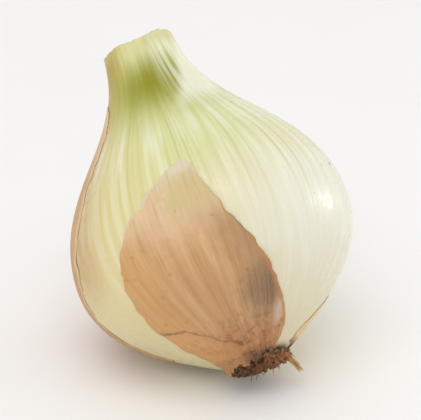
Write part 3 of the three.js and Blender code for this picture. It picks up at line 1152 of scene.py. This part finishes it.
# %% [markdown]
# ## Dry skin
#
# Dry skin is brown paper: dark where it meets the roots, orange-brown low down, beige further up,
# and palest at its torn tip, where it is one layer thin. Fine light and dark streaks follow the old
# veins. All three scraps share this finish. The sheet's own UV map shows where its torn edges are,
# and an attribute from the modelling tells where it is creased. There the low places between folds
# are painted darker, partly as dark cracks and partly as painted shade.

# %% Finish shared by all scraps
SKIN_ROOT = colour(186, 130, 82)
SKIN_LOW = colour(198, 151, 102)
SKIN_MIDDLE = colour(205, 160, 107)
SKIN_UPPER = colour(226, 196, 154)
SKIN_TIP = colour(220, 203, 172)
STREAK_DARK = colour(146, 98, 58)
STREAK_LIGHT = colour(233, 208, 168)
SPOT = colour(168, 98, 40)
CREASE = colour(112, 72, 42)
ROOT_BROWN = colour(92, 57, 32)


def dry_skin(name, tip_height):
    """A paper finish that gets paler towards a height, with its colour and relief so far."""
    skin = Finish(name)
    cloud = skin.place.noise(0.11, 3.0, 0.6)
    level = (skin.height + (cloud - 0.5) * 9) / tip_height
    ground = level.rise(0.06, 0.2).over(SKIN_ROOT, SKIN_LOW)
    ground = level.rise(0.3, 0.55).over(ground, SKIN_MIDDLE)
    ground = level.rise(0.62, 0.86).over(ground, SKIN_UPPER)
    ground = level.rise(0.88, 0.98).over(ground, SKIN_TIP)
    wide = skin.tube(38, 12).noise(0.42, 2.0)
    fine = skin.tube(38, 18).noise(1.05, 3.0, 0.6)
    hairline = skin.tube(38, 30).noise(2.6, 2.0)
    ground = ((0.5 - wide).rise(0, 0.2) * 0.16).over(ground, STREAK_DARK)
    ground = ((wide - 0.5).rise(0, 0.2) * 0.16).over(ground, STREAK_LIGHT)
    ground = ((0.47 - fine).rise(0, 0.18) * 0.3).over(ground, STREAK_DARK)
    ground = ((fine - 0.54).rise(0, 0.18) * 0.24).over(ground, STREAK_LIGHT)
    ground = ((0.42 - hairline).rise(0, 0.12) * 0.17).over(ground, CREASE)
    spots = (1 - skin.place.cells(0.3).rise(0.06, 0.27)) * skin.place.noise(0.2).rise(0.5, 0.62)
    ground = (spots * 0.6).over(ground, SPOT)
    gritty = skin.place.noise(0.9, 3.0, 0.65)
    # Creased low places between folds are darker: partly dark cracks, partly painted shade.
    ground = (skin.marked("crease") * gritty.rise(0.35, 0.6) * 0.42).over(ground, CREASE)
    root_stain = 1 - (skin.height + (fine - 0.5) * 7).rise(-0.9, 2.2)
    ground = (root_stain * 0.92).over(ground, ROOT_BROWN)
    skin.across = skin.place.node("UVMap", {"uv_map": "UVMap"})
    skin.across = skin.across.node("SeparateXYZ", {}, {"Vector": skin.across}, "X")
    relief = fine * 0.55 + hairline * 0.25 + gritty * 0.35 + wide * 0.3
    skin.streak = (0.5 - fine).rise(0, 0.16)
    skin.set(
        roughness=gritty * 0.25 + 0.42,
        normal=skin.bump(relief, 0.24 * MM),
    )
    return skin, ground


# %% Front scrap: tints, smudge and rim
SKIN_ORANGE = colour(212, 158, 92)
SKIN_PINK = colour(226, 190, 156)
SKIN_OLIVE = colour(196, 180, 116)
SKIN_SHADED = colour(158, 122, 90)
SMUDGE = colour(88, 70, 56)
MEMBRANE = colour(222, 208, 178)
SKIN_PAINTED_HIGHLIGHT = colour(206, 190, 172)
UNDER_LAYER = colour(212, 158, 102)
RIM_ORANGE = colour(196, 130, 66)
RED_STAIN = colour(150, 84, 48)
front_skin, ground = dry_skin("onion_front_dry_skin", 50)
height, angle, across = front_skin.height, front_skin.angle, front_skin.across
soft = front_skin.place.noise(0.3, 4.0, 0.6) - 0.5
leftwards = (1 - (angle + soft * 16).rise(-44, -14)) * height.within(8, 38, 8)
ground = (leftwards * 0.55).over(ground, SKIN_ORANGE)
pink = front_skin.around(36, -10, 15, soft * 14)
ground = (pink * 0.5).over(ground, SKIN_PINK)
olive = (angle + soft * 20).within(-12, 9, 5) * (height + soft * 8).within(37, 48, 4)
ground = (olive * 0.6).over(ground, SKIN_OLIVE)
shaded = (angle + height * 0.8 + soft * 16).rise(16, 36) * (height + soft * 8).within(8, 34, 6)
ground = (shaded * 0.6).over(ground, SKIN_SHADED)
see_through = (1 - across.rise(0.01, 0.09)) * height.rise(34, 44)
see_through = see_through.math("MAXIMUM", see_through, (height + soft * 3).rise(48.2, 50.4))
ground = (see_through * 0.7).over(ground, MEMBRANE)

smudge = front_skin.around(12.5, 17, 11, soft * 10)
ground = (smudge * (0.5 + 0.22 * front_skin.streak)).over(ground, SMUDGE)
# A pale grey painted highlight just below the smudge.
ground = (front_skin.around(7.0, 28, 4.8, soft * 5) * 0.55).over(ground, SKIN_PAINTED_HIGHLIGHT)
ground = (front_skin.around(2.8, -25, 3.4, soft * 3, radius=14) * 0.6).over(ground, RED_STAIN)
ground = (front_skin.marked("under_layer") * (1 - angle.rise(-30, 0)) * 0.6).over(ground, UNDER_LAYER)
ground = (front_skin.marked("crack") * 0.85).over(ground, CREASE)
rim = across.rise(0.974, 0.988) * (1 - (height + soft * 6).rise(20, 30))
ground = (rim * 0.65).over(ground, RIM_ORANGE)
upper_rim = across.rise(0.985, 0.995) * (height + soft * 6).within(26, 40, 4)
ground = (upper_rim * 0.35).over(ground, CREASE)
front_skin.set(base_color=ground)
print("front skin finish:", len(front_skin.material.node_tree.nodes), "nodes")

# %% Finishes of the other two scraps
SIDE_STRAW = colour(236, 208, 158)
back_skin, ground = dry_skin("onion_back_dry_skin", 92)
edge = 1 - (1 - back_skin.across).rise(0, 0.05)
back_skin.set(base_color=(edge * 0.8).over(ground, SKIN_UPPER))
side_skin, ground = dry_skin("onion_side_dry_skin", 8)
side_skin.set(base_color=(side_skin.height.rise(0.5, 2.5) * 0.75).over(ground, SIDE_STRAW))

# %% [markdown]
# ## Root plate and roots
#
# Both are dead, dry tissue, so they are matt. The plate is dark brown cork, with painted highlights
# on its raised lumps and painted shade in the crevices between them. The roots are dark brown at
# their feet, almost black on the left, and get lighter towards their broken tips. The longer
# strands on the right are the colour of straw.

# %% Finish of the root plate
CORK = colour(104, 70, 42)
CORK_PAINTED_HIGHLIGHT = colour(164, 122, 80)
CORK_PAINTED_SHADE = colour(52, 32, 19)
plate_finish = Finish("onion_cork")
lumps = plate_finish.place.noise(1.0, 4.0, 0.65)
crumbs = plate_finish.place.noise(3.6, 3.0, 0.6)
# Raised lumps get a painted highlight and the crevices between them painted shade.
ground = lumps.rise(0.48, 0.66).over(CORK, CORK_PAINTED_HIGHLIGHT)
ground = (1 - lumps.rise(0.36, 0.5)).over(ground, CORK_PAINTED_SHADE)
plate_finish.set(
    base_color=ground,
    roughness=crumbs * 0.2 + 0.75,
    normal=plate_finish.bump(crumbs * 0.5 + lumps * 0.5, 0.5 * MM),
)

# %% Finish of the roots
ROOT_DARK = colour(78, 47, 24)
ROOT_RED = colour(172, 118, 76)
ROOT_BLACK = colour(60, 34, 14)
ROOT_TIP = colour(194, 150, 102)
STRAW = colour(200, 164, 112)
root_finish = Finish("onion_dry_root")
clump = root_finish.place.noise(0.5, 2.0)
fibre = root_finish.place.noise(3.2, 3.0, 0.6)
to_right = (root_finish.x + clump * 6).rise(0, 10)
ground = (clump + fibre * 0.3 + to_right * 0.16).rise(0.54, 0.78).over(ROOT_DARK, ROOT_RED)
ground = ((1 - to_right) * (0.75 - fibre * 0.7)).over(ground, ROOT_BLACK)
tips = 1 - (root_finish.height + fibre * 1.6).rise(-3.9, -1.9)
ground = (tips * (0.2 + to_right * 0.5)).over(ground, ROOT_TIP)
straw = (root_finish.x + clump * 4).rise(9, 11.5) * (1 - root_finish.height.rise(-4.4, -2.4))
ground = (straw * 0.9).over(ground, STRAW)
root_finish.set(
    base_color=ground,
    roughness=fibre * 0.2 + 0.72,
    normal=root_finish.bump(fibre, 0.25 * MM),
)
print("root finishes done")

# %% [markdown]
# ## Lay everything down
#
# Up to now all pieces stood upright on the bench. Each gets its finish and the turn that lays it
# where the CAD onion lies, and is registered: it rides on the body, and it stands for its CAD node,
# which is hidden.

# %% Dress and lay down the pieces
dress(bulb, bulb_finish, "bulb_flesh", "bulb")
dress(front_scrap, front_skin, "dry_skin", "dry_skin_front")
dress(back_scrap, back_skin, "dry_skin", "dry_skin_back")
dress(side_scrap, side_skin, "dry_skin", "dry_skin_scrap")
dress(plate, plate_finish, "root_plate", "basal_plate")
dress(tuft, root_finish, "roots", "root_tuft")
bpy.data.objects.remove(guide)
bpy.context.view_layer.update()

# %% [markdown]
# ## Floor and light
#
# The onion lies on a plain white table. Soft light comes from everywhere, as in a white tent, and
# a small soft box on the right, a little behind, puts the wet-looking highlight on the belly. A
# large one in front and above keeps the neck and the root end readable.

# %% Floor
FLOOR_SIZE = 6
FLOOR_WHITE = colour(250, 249, 248)
FLOOR_SHADE = colour(246, 245, 244)
clean_start()
bpy.ops.mesh.primitive_plane_add(size=FLOOR_SIZE)
floor = bpy.context.object
floor.name = "table"
floor_finish = Finish("table_white")
mottle = floor_finish.place.noise(0.02, 2.0)
floor_finish.set(base_color=mottle.over(FLOOR_WHITE, FLOOR_SHADE), roughness=mottle * 0.1 + 0.75)
floor.data.materials.append(floor_finish.material)

# %% Lights
SKY_STRENGTH = 0.79
SKY_COLOUR = (1.0, 1.0, 1.0, 1.0)
bpy.context.scene.view_settings.view_transform = "Standard"
sky = bpy.data.worlds.new("white_tent")
sky.use_nodes = True
sky.node_tree.nodes["Background"].inputs["Color"].default_value = SKY_COLOUR
sky.node_tree.nodes["Background"].inputs["Strength"].default_value = SKY_STRENGTH
bpy.context.scene.world = sky


def soft_box(name, direction, distance, width, height, watts):
    """A rectangular light that looks at the onion, with its sizes in metres."""
    direction = Vector(direction).normalized()
    bpy.ops.object.light_add(
        type="AREA", location=aim + direction * distance,
        rotation=direction.to_track_quat("Z", "Y").to_euler(),
    )
    box = bpy.context.object
    box.name = name
    box.data.shape = "RECTANGLE"
    box.data.size, box.data.size_y = width, height
    box.data.energy = watts
    print(name, "stands", distance, "m away")


soft_box("right_box", (0.92, 0.4, 0.1), distance=0.8, width=0.13, height=0.2, watts=1.0)
soft_box("top_box", (-0.15, -0.45, 0.9), distance=1.0, width=0.8, height=0.8, watts=3.0)
